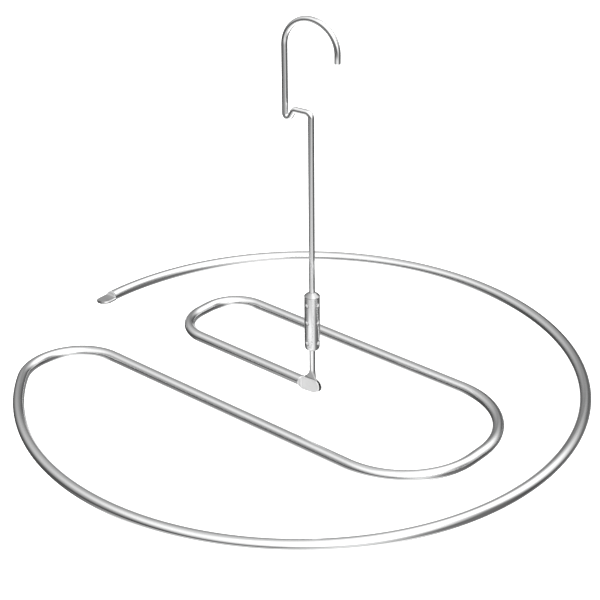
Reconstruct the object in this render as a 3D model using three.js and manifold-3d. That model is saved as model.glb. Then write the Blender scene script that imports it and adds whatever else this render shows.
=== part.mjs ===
// Spiral drying rack: one long steel tube bent into a flat spiral, hung from a hook that swivels.
// Millimetres, +Z up. The origin is the saddle of the hook, the point that rests on a rail.
// The stem of the hook lies on the Z axis, and the straights of the spiral run along X.

import * as THREE from 'three';
import { mergeVertices } from 'three/addons/utils/BufferGeometryUtils.js';
import Module from 'manifold-3d';

// The spiral tube, in plan. Bend radii are those of the tube's centreline.
const TUBE_DIAMETER = 10;
const TUBE_WALL = 0.7;
const RING_OUTER_DIAMETER = 500;
const RING_CENTRE_X = -12.8; // from the stem
const RING_CENTRE_Y = 0.6; // from the stem
const RING_EASE = 2.6; // how much tighter the ring is bent towards its outer end
const RING_EASE_ANGLE = 95; // degrees round the ring to where that starts
const RING_END_ANGLE = 183.9; // degrees round the ring to the tip of the outer end
const INNER_TURN_ENTRY_RADIUS = 35.6; // a half turn is two quarters with a short straight between
const INNER_TURN_STRAIGHT = 11.5;
const INNER_TURN_EXIT_RADIUS = 33.6;
const WIDE_TURN_ENTRY_RADIUS = 72.9;
const WIDE_TURN_STRAIGHT = 13.5;
const WIDE_TURN_EXIT_RADIUS = 70.9;
const OUTER_TURN_RADIUS = 47;
const INNER_TURN_GAP = 78.9; // clear width between the inner turn and the ring, along X
const WIDE_TURN_GAP = 47.7; // clear width between the wide turn and the ring, along X
const STEM_INSET = 9.8; // from the tip of the inner end back to the stem

// The two ends of the tube, pressed flat
const PRESSED_SLIT = 1.4; // what is left of the bore
const PRESSED_LEAN = 0.7; // 0 spreads the flat evenly, 1 keeps one edge in line with the tube
const PRESSED_TAPER = 5.5; // from the flat to the full round
const INNER_FLAT_LENGTH = 18;
const INNER_FLAT_CORNER = 2.2;
const OUTER_FLAT_LENGTH = 12;
const OUTER_FLAT_CORNER = 4.4;

// The hook, bent from rod
const ROD_DIAMETER = 5.2;
const HOOK_RADIUS = 24.7; // of the rod's centreline
const HOOK_TIP_LENGTH = 7.5;
const HOOK_TIP_CHAMFER = 0.5;
const HOOK_TURN = 8.7; // degrees between the hook and the straights, as it rests
const CRANK_DROP = 76.6; // from the saddle down to the centreline of the crank
const CRANK_SLOPE = 60; // degrees, the short leg between the crank and the notch
const CRANK_LEG = 3.2;
const CRANK_INSIDE_RADIUS = 0.5; // inside radii of the tight bends
const NOTCH_INSIDE_RADIUS = 0.2;
const STEM_INSIDE_RADIUS = 3.1;
const RACK_DROP = 328; // from the saddle down to the tube's centreline
const HEAD_LIP = 1.5; // how far the upset head stands out from the stem
const HEAD_LENGTH = 4;

// The swivel: a sleeve crimped over two bushes and a plug
const SLEEVE_HEIGHT = 38.9; // its lower rim, above the tube's centreline
const SLEEVE_DIAMETER = 13.5;
const SLEEVE_WALL = 1;
const PLUG_LENGTH = 10;
const PLUG_FLOOR = 2;
const PLUG_DOME = 3.7;
const PLUG_EDGE_ROUND = 3; // how far the dome's edge curves in
const HEAD_ROOM = 3.9; // free space under the upset head
const WASHER_THICKNESS = 1.3;
const GUIDE_LENGTH = 10;
const BUSH_SPACING = 4.2; // free space between the two bushes
const TOP_BUSH_LENGTH = 14;
const CONE_HEIGHT = 4.6;
const CONE_SLOPE = 42; // degrees from level
const CONE_SHOULDER_RADIUS = 0.8;
const CONE_TOP_LIP = 0.5; // wall left round the bore at the tip of the cone
const RIM_STEP = 0.3; // how far the cone and the dome stay inside the sleeve's edge
const DIMPLE_DIAMETER = 3.2;
const DIMPLE_DEPTH = 0.8;
const DIMPLES_IN_ROW = 4;

// The lower rod's foot, and its weld
const FOOT_LENGTH = 7;
const FOOT_WIDTH = 13;
const FOOT_THICKNESS = 2.6;
const FOOT_OFFSET = -1.4; // the fan leans away from the tube's tip
const FOOT_FLARE = 4; // the power with which the fan spreads towards its foot
const WELD_HEIGHT = 0.8;
const WELD_WIDTH = 2.4;
const WELD_MARGIN = 0.4; // how far the weld shows past the foot

// Clearances
const SEAT_GAP = 0.3; // between pieces that touch
const RUNNING_GAP = 0.3; // between the stem and its bushes
const LOOSE_GAP = 0.6; // between the thrust washer and the sleeve

// How finely round shapes are divided
const CHORD_ERROR = 0.25;
const TIGHT_CHORD_ERROR = 0.08;
const TUBE_SIDES = 14;
const ROD_SIDES = 16;
const TURNED_SIDES = 24;
const SLEEVE_SIDES = 40;
const BALL_SIDES = 16;
const PRESS_STEPS = 4;
const TINY = 1e-6; // lengths below this are rounding errors
const SAME_CORNER = 1e-4; // corners closer than this are one corner

// Sizes that follow from the ones above
const tubeRadius = TUBE_DIAMETER / 2;
const ringRadius = RING_OUTER_DIAMETER / 2 - tubeRadius;
const rodRadius = ROD_DIAMETER / 2;
const headRadius = rodRadius + HEAD_LIP;
const runningBore = rodRadius + RUNNING_GAP;
const sleeveRadius = SLEEVE_DIAMETER / 2;
const sleeveBore = sleeveRadius - SLEEVE_WALL;
const bushRadius = sleeveBore - SEAT_GAP;
const rimRadius = sleeveRadius - RIM_STEP;

// Pressing keeps the length of the wall's middle line, so the flat is as wide as that line allows.
const pressedThickness = 2 * TUBE_WALL + PRESSED_SLIT;
const pressedWidth = (Math.PI / 2) * (TUBE_DIAMETER - pressedThickness) + pressedThickness;
const pressedShift = PRESSED_LEAN * (pressedWidth / 2 - tubeRadius);

// Heights above the tube's centreline, from the weld up to the cone
const weldBottom = pressedWidth / 2 - pressedShift + SEAT_GAP;
const footBottom = weldBottom + WELD_HEIGHT + SEAT_GAP;
const plugTop = SLEEVE_HEIGHT + PLUG_LENGTH;
const plugBoreTop = plugTop - PLUG_FLOOR;
const headBottom = plugTop + HEAD_ROOM;
const washerBottom = headBottom + HEAD_LENGTH + SEAT_GAP;
const guideBottom = washerBottom + WASHER_THICKNESS + SEAT_GAP;
const topBushBottom = guideBottom + GUIDE_LENGTH + BUSH_SPACING;
const sleeveTop = topBushBottom + TOP_BUSH_LENGTH;
const dimpleRows = [
  SLEEVE_HEIGHT + PLUG_LENGTH / 2,
  guideBottom + GUIDE_LENGTH / 2,
  topBushBottom + TOP_BUSH_LENGTH / 2,
];

// A dimple is the print of a ball: this is the ball's radius, and where its centre lies.
const dimpleBall = (DIMPLE_DIAMETER ** 2 / 4 + DIMPLE_DEPTH ** 2) / (2 * DIMPLE_DEPTH);
const dimpleCentre = sleeveRadius + dimpleBall - DIMPLE_DEPTH;

// Points along a flat path of lines and arcs, closer together on the tighter arcs.
function pathStops(path, chordError) {
  const stops = [];
  let start = 0;
  for (const curve of path.curves) {
    const length = curve.getLength();
    if (length < TINY) continue;
    const halfStep = curve.isEllipseCurve ? Math.acos(1 - chordError / curve.xRadius) : Infinity;
    const turn = curve.isEllipseCurve ? length / curve.xRadius : 0;
    const steps = Math.max(1, Math.ceil(turn / (2 * halfStep)));
    for (let step = stops.length ? 1 : 0; step <= steps; step += 1) {
      stops.push({ curve, t: step / steps, distance: start + (length * step) / steps });
    }
    start += length;
  }
  return stops;
}

// Adds stops at the given distances along the path, and drops the others that lie in [from, to].
function refineStops(stops, from, to, distances) {
  const kept = stops.filter((stop) => stop.distance < from || stop.distance > to);
  const last = (distance) => stops.find((stop) => stop.distance >= distance - TINY);
  const added = distances.map((distance) => {
    const { curve, t, distance: end } = last(distance);
    return { curve, t: Math.max(0, t - (end - distance) / curve.getLength()), distance };
  });
  return [...kept, ...added].sort((a, b) => a.distance - b.distance);
}

// A section of a round bar or tube that is pressed towards a flat with rounded edges.
// halfU and halfV are the flat's half sizes across and up; press runs from 0, round, to 1, flat.
function section(sides, radius, press = 0, halfU = radius, halfV = radius) {
  const points = [];
  for (let side = 0; side < sides; side += 1) {
    const angle = (2 * Math.PI * side) / sides;
    const round = new THREE.Vector2(Math.cos(angle), Math.sin(angle)).multiplyScalar(radius);
    points.push(round.lerp(flatPoint(angle, halfU, halfV), press));
  }
  return points;
}

function flatPoint(angle, halfU, halfV) {
  if (halfU < halfV) {
    const turned = flatPoint(Math.PI / 2 - angle, halfV, halfU);
    return new THREE.Vector2(turned.y, turned.x);
  }
  const cos = Math.cos(angle);
  const sin = Math.sin(angle);
  const quarter = Math.atan2(Math.abs(sin), Math.abs(cos)) / (Math.PI / 4);
  const straight = halfU - halfV;
  const onEdge = quarter <= 1;
  const edgeAngle = (quarter * Math.PI) / 2;
  const u = onEdge ? straight + halfV * Math.cos(edgeAngle) : straight * (2 - quarter);
  const v = onEdge ? halfV * Math.sin(edgeAngle) : halfV;
  return new THREE.Vector2(Math.sign(cos) * u, Math.sign(sin) * v);
}

// Skins a row of rings into a closed solid. Each ring has a centre, two directions across the
// path and an outline; rings with a bore make a tube that is open at both ends.
function loft(rings) {
  const sides = rings[0].outline.length;
  const hollow = Boolean(rings[0].bore);
  const positions = [];
  const indices = [];
  const addRing = (ring, outline) => {
    for (const point of outline) {
      const place = ring.centre.clone();
      place.addScaledVector(ring.across, point.x).addScaledVector(ring.up, point.y);
      positions.push(...place);
    }
  };
  const quad = (a, b, c, d) => indices.push(a, b, c, a, c, d);
  const next = (side) => (side + 1) % sides;
  for (const ring of rings) addRing(ring, ring.outline);
  if (hollow) for (const ring of rings) addRing(ring, ring.bore);
  const inner = rings.length * sides;
  const last = (rings.length - 1) * sides;
  for (let side = 0; side < sides; side += 1) {
    for (let row = 0; row < last; row += sides) {
      quad(row + side, row + next(side), row + sides + next(side), row + sides + side);
      if (!hollow) continue;
      const bore = inner + row;
      quad(bore + side, bore + sides + side, bore + sides + next(side), bore + next(side));
    }
    if (hollow) {
      quad(side, inner + side, inner + next(side), next(side));
      quad(last + side, last + next(side), inner + last + next(side), inner + last + side);
    } else if (side > 1) {
      indices.push(0, side, side - 1);
      indices.push(last, last + side - 1, last + side);
    }
  }
  const geometry = new THREE.BufferGeometry();
  geometry.setAttribute('position', new THREE.Float32BufferAttribute(positions, 3));
  geometry.setIndex(indices);
  geometry.computeVertexNormals();
  return geometry;
}

// Turns a closed profile of [radius, height] points about the Z axis.
function revolve(profile, sides = TURNED_SIDES) {
  const points = profile.map(([radius, height]) => new THREE.Vector2(radius, height));
  return new THREE.LatheGeometry(points, sides).rotateX(Math.PI / 2);
}

const wasm = await Module();
wasm.setup();

// A closed geometry as a solid that can be joined and cut, and the way back.
function toSolid(geometry) {
  const bare = geometry.clone();
  bare.deleteAttribute('normal');
  bare.deleteAttribute('uv');
  const merged = mergeVertices(bare, SAME_CORNER);
  const vertProperties = new Float32Array(merged.attributes.position.array);
  const triVerts = new Uint32Array(merged.index.array);
  return new wasm.Manifold(new wasm.Mesh({ numProp: 3, vertProperties, triVerts }));
}

function toGeometry(solid) {
  const { vertProperties, triVerts } = solid.getMesh();
  const geometry = new THREE.BufferGeometry();
  geometry.setAttribute('position', new THREE.Float32BufferAttribute(vertProperties, 3));
  geometry.setIndex(Array.from(triVerts));
  geometry.computeVertexNormals();
  return geometry;
}

// The plan of the spiral, from the tip under the stem out to the tip of the ring.
function spiralPath() {
  // The far sides of the two half turns, and where their quarters start and end
  const innerX = RING_CENTRE_X - ringRadius + TUBE_DIAMETER + INNER_TURN_GAP;
  const innerStart = INNER_TURN_ENTRY_RADIUS;
  const innerEnd = innerStart + INNER_TURN_STRAIGHT;
  const backY = innerEnd + INNER_TURN_EXIT_RADIUS;
  const wideX = RING_CENTRE_X + ringRadius - TUBE_DIAMETER - WIDE_TURN_GAP;
  const wideStart = backY - WIDE_TURN_ENTRY_RADIUS;
  const wideEnd = wideStart - WIDE_TURN_STRAIGHT;
  const frontY = wideEnd - WIDE_TURN_EXIT_RADIUS;
  // The outer turn runs into the ring where the two circles touch from inside.
  const outerY = frontY - OUTER_TURN_RADIUS;
  const reach = ringRadius - OUTER_TURN_RADIUS;
  const fall = outerY - RING_CENTRE_Y;
  const outerX = RING_CENTRE_X - Math.sqrt(reach ** 2 - fall ** 2);
  const touch = Math.atan2(fall, outerX - RING_CENTRE_X) + 2 * Math.PI;
  const ringEase = THREE.MathUtils.degToRad(RING_EASE_ANGLE) + 2 * Math.PI;
  const easeX = RING_CENTRE_X + RING_EASE * Math.cos(ringEase);
  const easeY = RING_CENTRE_Y + RING_EASE * Math.sin(ringEase);
  const ringEnd = THREE.MathUtils.degToRad(RING_END_ANGLE) + 2 * Math.PI;

  const path = new THREE.Path();
  const quarter = (x, y, radius, from) => path.absarc(x, y, radius, from, from - Math.PI / 2, true);
  path.moveTo(STEM_INSET, 0);
  path.lineTo(innerX + INNER_TURN_ENTRY_RADIUS, 0);
  quarter(innerX + INNER_TURN_ENTRY_RADIUS, innerStart, INNER_TURN_ENTRY_RADIUS, (3 * Math.PI) / 2);
  path.lineTo(innerX, innerEnd);
  quarter(innerX + INNER_TURN_EXIT_RADIUS, innerEnd, INNER_TURN_EXIT_RADIUS, Math.PI);
  path.lineTo(wideX - WIDE_TURN_ENTRY_RADIUS, backY);
  quarter(wideX - WIDE_TURN_ENTRY_RADIUS, wideStart, WIDE_TURN_ENTRY_RADIUS, Math.PI / 2);
  path.lineTo(wideX, wideEnd);
  quarter(wideX - WIDE_TURN_EXIT_RADIUS, wideEnd, WIDE_TURN_EXIT_RADIUS, 0);
  path.lineTo(outerX, frontY);
  path.absarc(outerX, outerY, OUTER_TURN_RADIUS, Math.PI / 2, touch, false);
  path.absarc(RING_CENTRE_X, RING_CENTRE_Y, ringRadius, touch, ringEase, false);
  path.absarc(easeX, easeY, ringRadius - RING_EASE, ringEase, ringEnd, false);
  return path;
}

// Distances from the tip of a pressed end: round its corners, along its flat, up its taper.
function pressedStops(flat, corner) {
  const stops = [];
  for (let step = 0; step <= PRESS_STEPS; step += 1) {
    stops.push(corner * (1 - Math.cos((step / PRESS_STEPS) * (Math.PI / 2))));
  }
  for (let step = 0; step <= PRESS_STEPS; step += 1) {
    stops.push(flat + (PRESSED_TAPER * step) / PRESS_STEPS);
  }
  return stops;
}

// The section of the tube near a tip. The inner end is pressed upright and the outer one level,
// and each spreads more to one side: downwards at the inner end, into the ring at the outer one.
function tubeSection(fromInner, fromOuter, inset) {
  const upright = fromInner < fromOuter;
  const fromTip = Math.min(fromInner, fromOuter);
  const flat = upright ? INNER_FLAT_LENGTH : OUTER_FLAT_LENGTH;
  const corner = upright ? INNER_FLAT_CORNER : OUTER_FLAT_CORNER;
  const press = 1 - THREE.MathUtils.smoothstep(fromTip, flat, flat + PRESSED_TAPER);
  const inCorner = Math.max(0, corner - fromTip);
  const trim = corner - Math.sqrt(corner ** 2 - inCorner ** 2);
  const halfWidth = pressedWidth / 2 - trim - inset;
  const halfThickness = pressedThickness / 2 - inset;
  const halfU = upright ? halfThickness : halfWidth;
  const halfV = upright ? halfWidth : halfThickness;
  const shift = new THREE.Vector2(upright ? 0 : pressedShift, upright ? -pressedShift : 0);
  const outline = section(TUBE_SIDES, tubeRadius - inset, press, halfU, halfV);
  return outline.map((point) => point.addScaledVector(shift, press));
}

function spiralTube() {
  const path = spiralPath();
  const length = path.getLength();
  const inner = pressedStops(INNER_FLAT_LENGTH, INNER_FLAT_CORNER);
  const outer = pressedStops(OUTER_FLAT_LENGTH, OUTER_FLAT_CORNER).map((stop) => length - stop);
  let stops = pathStops(path, CHORD_ERROR);
  stops = refineStops(stops, 0, Math.max(...inner), inner);
  stops = refineStops(stops, Math.min(...outer), length, outer);
  const up = new THREE.Vector3(0, 0, 1);
  return loft(stops.map(({ curve, t, distance }) => {
    const point = curve.getPoint(t);
    const tangent = curve.getTangent(t);
    return {
      centre: new THREE.Vector3(point.x, point.y, 0),
      across: new THREE.Vector3(-tangent.y, tangent.x, 0),
      up,
      outline: tubeSection(distance, length - distance, 0),
      bore: tubeSection(distance, length - distance, TUBE_WALL),
    };
  }));
}

// The hook's centreline in its own plane, from the upset head up to the tip. Across the page is
// the way the hook opens.
function hookPath() {
  const stemBend = rodRadius + STEM_INSIDE_RADIUS;
  const crankBend = rodRadius + CRANK_INSIDE_RADIUS;
  const notchBend = rodRadius + NOTCH_INSIDE_RADIUS;
  const slope = THREE.MathUtils.degToRad(CRANK_SLOPE);
  const sin = Math.sin(slope);
  const cos = Math.cos(slope);
  const archZ = rodRadius - HOOK_RADIUS;
  // The bends between the crank and the back of the hook take up this much width.
  const crankX = notchBend * (1 + sin) + crankBend * sin + CRANK_LEG * cos - HOOK_RADIUS;
  const notchX = notchBend - HOOK_RADIUS;
  const legTopZ = -CRANK_DROP - crankBend * (1 - cos);
  const legTopX = crankX - crankBend * sin;
  const legEndX = legTopX - CRANK_LEG * cos;
  const legEndZ = legTopZ - CRANK_LEG * sin;
  const notchZ = legEndZ + notchBend * cos;

  const path = new THREE.Path();
  path.moveTo(0, headBottom - RACK_DROP);
  path.lineTo(0, -CRANK_DROP - stemBend);
  path.absarc(-stemBend, -CRANK_DROP - stemBend, stemBend, 0, Math.PI / 2, false);
  path.lineTo(crankX, -CRANK_DROP);
  path.absarc(crankX, -CRANK_DROP - crankBend, crankBend, Math.PI / 2, Math.PI / 2 + slope, false);
  path.lineTo(legEndX, legEndZ);
  path.absarc(notchX, notchZ, notchBend, slope - Math.PI / 2, -Math.PI, true);
  path.lineTo(-HOOK_RADIUS, archZ);
  path.absarc(0, archZ, HOOK_RADIUS, Math.PI, 0, true);
  path.lineTo(HOOK_RADIUS, archZ - HOOK_TIP_LENGTH);
  return path;
}

function hookRod() {
  const path = hookPath();
  const stops = pathStops(path, TIGHT_CHORD_ERROR);
  const across = new THREE.Vector3(0, -1, 0);
  const ring = (curve, t, radius, slide = 0) => {
    const point = curve.getPoint(t);
    const tangent = curve.getTangent(t);
    const along = new THREE.Vector3(tangent.x, 0, tangent.y);
    return {
      centre: new THREE.Vector3(point.x, 0, point.y).addScaledVector(along, slide),
      across,
      up: along.clone().cross(across),
      outline: section(ROD_SIDES, radius),
    };
  };
  const first = stops[0];
  const last = stops[stops.length - 1];
  return loft([
    ring(first.curve, first.t, headRadius),
    ring(first.curve, first.t, headRadius, HEAD_LENGTH),
    ring(first.curve, first.t, rodRadius, HEAD_LENGTH),
    ...stops.slice(1, -1).map(({ curve, t }) => ring(curve, t, rodRadius)),
    ring(last.curve, last.t, rodRadius, -HOOK_TIP_CHAMFER),
    ring(last.curve, last.t, rodRadius - HOOK_TIP_CHAMFER),
  ]);
}

// The rod under the swivel, round at the top and spread into a flat fan at the foot.
function lowerRod() {
  const across = new THREE.Vector3(1, 0, 0);
  const up = new THREE.Vector3(0, 1, 0);
  const rings = [];
  for (let step = 0; step <= 2 * PRESS_STEPS; step += 1) {
    const share = step / (2 * PRESS_STEPS);
    const spread = (1 - share) ** FOOT_FLARE;
    const halfU = THREE.MathUtils.lerp(rodRadius, FOOT_WIDTH / 2, spread);
    const halfV = THREE.MathUtils.lerp(rodRadius, FOOT_THICKNESS / 2, 1 - share);
    rings.push({
      centre: new THREE.Vector3(FOOT_OFFSET * spread, 0, footBottom + FOOT_LENGTH * share),
      across,
      up,
      outline: section(ROD_SIDES, rodRadius, 1 - share, halfU, halfV),
    });
  }
  const top = new THREE.Vector3(0, 0, plugBoreTop - SEAT_GAP);
  rings.push({ centre: top, across, up, outline: section(ROD_SIDES, rodRadius) });
  return loft(rings);
}

// A low bead with rounded edges along the seam under the foot.
function footWeld() {
  const edge = WELD_HEIGHT / 3;
  const radius = WELD_WIDTH / 2 - edge;
  const halfLength = FOOT_WIDTH / 2 + WELD_MARGIN - WELD_WIDTH / 2;
  const outline = new THREE.Shape();
  outline.absarc(halfLength, 0, radius, -Math.PI / 2, Math.PI / 2, false);
  outline.absarc(-halfLength, 0, radius, Math.PI / 2, -Math.PI / 2, false);
  return new THREE.ExtrudeGeometry(outline, {
    depth: WELD_HEIGHT - 2 * edge,
    bevelThickness: edge,
    bevelSize: edge,
    bevelSegments: 2,
    curveSegments: 6,
  }).translate(FOOT_OFFSET, 0, weldBottom + edge);
}

// The groove that a row of dimples is pressed into: how it runs down the side of a bush or plug.
function dimpleGroove(rowZ) {
  const ball = dimpleBall + SLEEVE_WALL + SEAT_GAP;
  const bottom = dimpleCentre - ball;
  const halfHeight = Math.sqrt(ball ** 2 - (dimpleCentre - bushRadius) ** 2);
  return [
    [bushRadius, rowZ + halfHeight],
    [bottom, rowZ + halfHeight / 2],
    [bottom, rowZ - halfHeight / 2],
    [bushRadius, rowZ - halfHeight],
  ];
}

function topBush() {
  const seat = sleeveTop + SEAT_GAP;
  const tip = sleeveTop + CONE_HEIGHT;
  // The shoulder rounds off the corner between the cone and its straight rim.
  const slope = THREE.MathUtils.degToRad(CONE_SLOPE);
  const steepest = Math.PI / 2 - slope;
  const cornerZ = tip - (rimRadius - runningBore - CONE_TOP_LIP) * Math.tan(slope);
  const shoulderZ = cornerZ - CONE_SHOULDER_RADIUS * Math.tan(steepest / 2);
  const shoulder = [];
  for (let step = 0; step <= PRESS_STEPS; step += 1) {
    const angle = steepest * (1 - step / PRESS_STEPS);
    const radius = rimRadius - CONE_SHOULDER_RADIUS * (1 - Math.cos(angle));
    shoulder.push([radius, shoulderZ + CONE_SHOULDER_RADIUS * Math.sin(angle)]);
  }
  return revolve([
    [runningBore, tip],
    [runningBore + CONE_TOP_LIP, tip],
    ...shoulder,
    [rimRadius, seat],
    [bushRadius, seat],
    ...dimpleGroove(dimpleRows[2]),
    [bushRadius, topBushBottom],
    [runningBore, topBushBottom],
    [runningBore, tip],
  ].reverse());
}

function guideBush() {
  return revolve([
    [runningBore, guideBottom + GUIDE_LENGTH],
    [bushRadius, guideBottom + GUIDE_LENGTH],
    ...dimpleGroove(dimpleRows[1]),
    [bushRadius, guideBottom],
    [runningBore, guideBottom],
    [runningBore, guideBottom + GUIDE_LENGTH],
  ].reverse());
}

function thrustWasher() {
  const outer = sleeveBore - LOOSE_GAP;
  return revolve([
    [runningBore, washerBottom],
    [outer, washerBottom],
    [outer, washerBottom + WASHER_THICKNESS],
    [runningBore, washerBottom + WASHER_THICKNESS],
    [runningBore, washerBottom],
  ]);
}

function endPlug() {
  const bore = rodRadius + SEAT_GAP;
  const seat = SLEEVE_HEIGHT - SEAT_GAP;
  const bottom = SLEEVE_HEIGHT - PLUG_DOME;
  const dome = [];
  for (let step = 0; step <= PRESS_STEPS; step += 1) {
    const angle = (step / PRESS_STEPS) * (Math.PI / 2);
    const radius = rimRadius - PLUG_EDGE_ROUND * (1 - Math.cos(angle));
    dome.push([radius, seat - (seat - bottom) * Math.sin(angle)]);
  }
  return revolve([
    [0, plugTop],
    [bushRadius, plugTop],
    ...dimpleGroove(dimpleRows[0]),
    [bushRadius, seat],
    ...dome,
    [bore, bottom],
    [bore, plugBoreTop],
    [0, plugBoreTop],
  ].reverse());
}

// The sleeve is a plain tube, crimped: every dimple dents its outside and swells into its bore.
function swivelSleeve() {
  const tube = (radius, overrun) => toSolid(revolve([
    [0, SLEEVE_HEIGHT - overrun],
    [radius, SLEEVE_HEIGHT - overrun],
    [radius, sleeveTop + overrun],
    [0, sleeveTop + overrun],
  ], SLEEVE_SIDES));
  let bore = tube(sleeveBore, SLEEVE_WALL);
  let blank = tube(sleeveRadius, 0);
  for (const rowZ of dimpleRows) {
    for (let turn = 0; turn < DIMPLES_IN_ROW; turn += 1) {
      const angle = (2 * Math.PI * turn) / DIMPLES_IN_ROW;
      const ball = (radius) => {
        const shape = new THREE.SphereGeometry(radius, BALL_SIDES, BALL_SIDES / 2).rotateX(Math.PI / 2);
        return toSolid(shape.translate(dimpleCentre, 0, rowZ).rotateZ(angle));
      };
      bore = bore.subtract(ball(dimpleBall + SLEEVE_WALL));
      blank = blank.subtract(ball(dimpleBall));
    }
  }
  return toGeometry(blank.subtract(bore));
}

const polishedSteel = { color: 0xc9cbcc, metalness: 1, roughness: 0.22 };
const brightSteel = { color: 0xd3d5d6, metalness: 1, roughness: 0.16 };
const turnedSteel = { color: 0xbfc1c3, metalness: 1, roughness: 0.3 };
const weldedSteel = { color: 0x8f9092, metalness: 1, roughness: 0.5 };

function piece(name, geometry, finish) {
  const mesh = new THREE.Mesh(geometry, new THREE.MeshStandardMaterial(finish));
  mesh.name = name;
  return mesh;
}

const hook = new THREE.Group();
hook.rotation.z = THREE.MathUtils.degToRad(HOOK_TURN);
hook.add(piece('hook_rod', hookRod(), brightSteel));

const rack = new THREE.Group();
rack.position.z = -RACK_DROP;
rack.add(
  piece('spiral_tube', spiralTube(), polishedSteel),
  piece('foot_weld', footWeld(), weldedSteel),
  piece('lower_rod', lowerRod(), brightSteel),
  piece('end_plug', endPlug(), turnedSteel),
  piece('swivel_sleeve', swivelSleeve(), polishedSteel),
  piece('thrust_washer', thrustWasher(), turnedSteel),
  piece('guide_bush', guideBush(), turnedSteel),
  piece('top_bush', topBush(), turnedSteel),
);

const spiralDryingRack = new THREE.Group();
spiralDryingRack.add(hook, rack);

export default spiralDryingRack;
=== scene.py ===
# %% [markdown]
# # A spiral drying rack
#
# The rack hangs from a rail and carries a bed sheet wound on edge. It is one long steel tube bent into a
# flat spiral, a rod hook above it, and a small swivel between the two. The frame that is loaded here
# already has every piece at its real size, as plain faceted solids. This lesson gives each piece a smooth
# surface and a finish, in the same place and in metres, and leaves the sizes alone.

import math

import bmesh
import bpy
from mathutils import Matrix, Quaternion, Vector


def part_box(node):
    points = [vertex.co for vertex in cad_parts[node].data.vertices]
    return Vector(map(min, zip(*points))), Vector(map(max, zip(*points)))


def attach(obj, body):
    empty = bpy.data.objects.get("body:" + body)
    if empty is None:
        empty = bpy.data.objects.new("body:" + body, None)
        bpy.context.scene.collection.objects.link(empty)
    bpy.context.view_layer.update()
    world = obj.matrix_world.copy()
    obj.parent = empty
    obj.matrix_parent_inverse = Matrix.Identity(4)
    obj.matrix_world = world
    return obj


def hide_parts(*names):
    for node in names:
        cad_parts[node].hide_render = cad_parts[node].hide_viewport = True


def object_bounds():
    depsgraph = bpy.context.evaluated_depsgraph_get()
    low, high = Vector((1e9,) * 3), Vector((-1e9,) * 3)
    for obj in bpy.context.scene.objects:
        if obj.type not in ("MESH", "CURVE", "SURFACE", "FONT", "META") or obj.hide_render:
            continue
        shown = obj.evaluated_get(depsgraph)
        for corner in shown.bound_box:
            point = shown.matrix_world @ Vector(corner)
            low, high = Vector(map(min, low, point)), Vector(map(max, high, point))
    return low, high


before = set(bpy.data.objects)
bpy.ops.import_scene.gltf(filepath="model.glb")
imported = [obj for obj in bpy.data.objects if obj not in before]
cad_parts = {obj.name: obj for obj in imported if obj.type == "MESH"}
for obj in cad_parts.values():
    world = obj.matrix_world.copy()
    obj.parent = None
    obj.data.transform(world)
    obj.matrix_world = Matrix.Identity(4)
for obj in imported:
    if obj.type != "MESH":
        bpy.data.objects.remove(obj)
cad_low, cad_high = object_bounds()
MM = 0.001
print("nodes of the frame:", ", ".join(sorted(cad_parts)))

# %% [markdown]
# ## The camera
#
# The photographer stood a good step away and looked down at the ring with a long lens, so the ring is a
# wide ellipse with little perspective. The camera is therefore set by a point on the ring's plane, a
# distance, two angles and a small roll, and not by eye. Azimuth turns it round the stem, and zero would
# look along +Y.

# %% Camera
VIEW_AZIMUTH = math.radians(41.27)
VIEW_ELEVATION = math.radians(27.71)
VIEW_ROLL = math.radians(-0.52)
VIEW_DISTANCE = 1659.9 * MM
LOOK_AT = Vector((-112.45, 112.65, -328)) * MM
LENS = 105.05  # millimetres, on a sensor 36 mm wide

back = Vector((
    math.sin(VIEW_AZIMUTH) * math.cos(VIEW_ELEVATION),
    -math.cos(VIEW_AZIMUTH) * math.cos(VIEW_ELEVATION),
    math.sin(VIEW_ELEVATION),
))
bpy.ops.object.camera_add(location=LOOK_AT + back * VIEW_DISTANCE)
camera = bpy.context.object
camera.rotation_mode = "QUATERNION"
camera.rotation_quaternion = back.to_track_quat("Z", "Y") @ Quaternion((0, 0, 1), VIEW_ROLL)
camera.data.lens = LENS
bpy.context.scene.camera = camera
print("camera at", [round(x, 3) for x in camera.location])

# %% [markdown]
# ## The floor
#
# Bright steel on a white ground is lit on a lit table: the ground glows a little, so it burns out to
# white and takes no shadow. The floor is kept out of the reflections. Otherwise every tube would mirror
# an endless white sheet, and would lose the dark lower edge that shows its roundness.

# %% Floor
FLOOR_DROP = 600 * MM
FLOOR_SIZE = 60  # metres, so that its edge is far away
TABLE_TONE = 0.9
TABLE_ROUGHNESS = 0.9
TABLE_GLOW = 0.75

bpy.ops.object.select_all(action="DESELECT")
bpy.ops.mesh.primitive_plane_add(size=FLOOR_SIZE, location=(0, 0, cad_low.z - FLOOR_DROP))
floor = bpy.context.object
floor.name = "floor"
floor.visible_glossy = False
table_top = bpy.data.materials.new("lit_table")
table_top.use_nodes = True
table_shader = table_top.node_tree.nodes["Principled BSDF"]
table_shader.inputs["Base Color"].default_value = (TABLE_TONE,) * 3 + (1,)
table_shader.inputs["Roughness"].default_value = TABLE_ROUGHNESS
table_shader.inputs["Emission Color"].default_value = (1, 1, 1, 1)
table_shader.inputs["Emission Strength"].default_value = TABLE_GLOW
floor.data.materials.append(table_top)
print("floor at height", round(floor.location.z, 3))

# %% [markdown]
# ## The light
#
# Polished steel has no colour of its own: it shows what stands round it. Soft boxes would leave hard
# edges in the tubes, so the light is a dome that glows in a few soft places, and is dim in between. The
# dome's nodes first work out the azimuth and the elevation of a ray, seen from the camera: azimuth 0 is
# straight ahead and 90 is to the right.

# %% Rays of the dome
ahead = Vector((-back.x, -back.y, 0)).normalized()
right = ahead.cross(Vector((0, 0, 1)))

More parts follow.
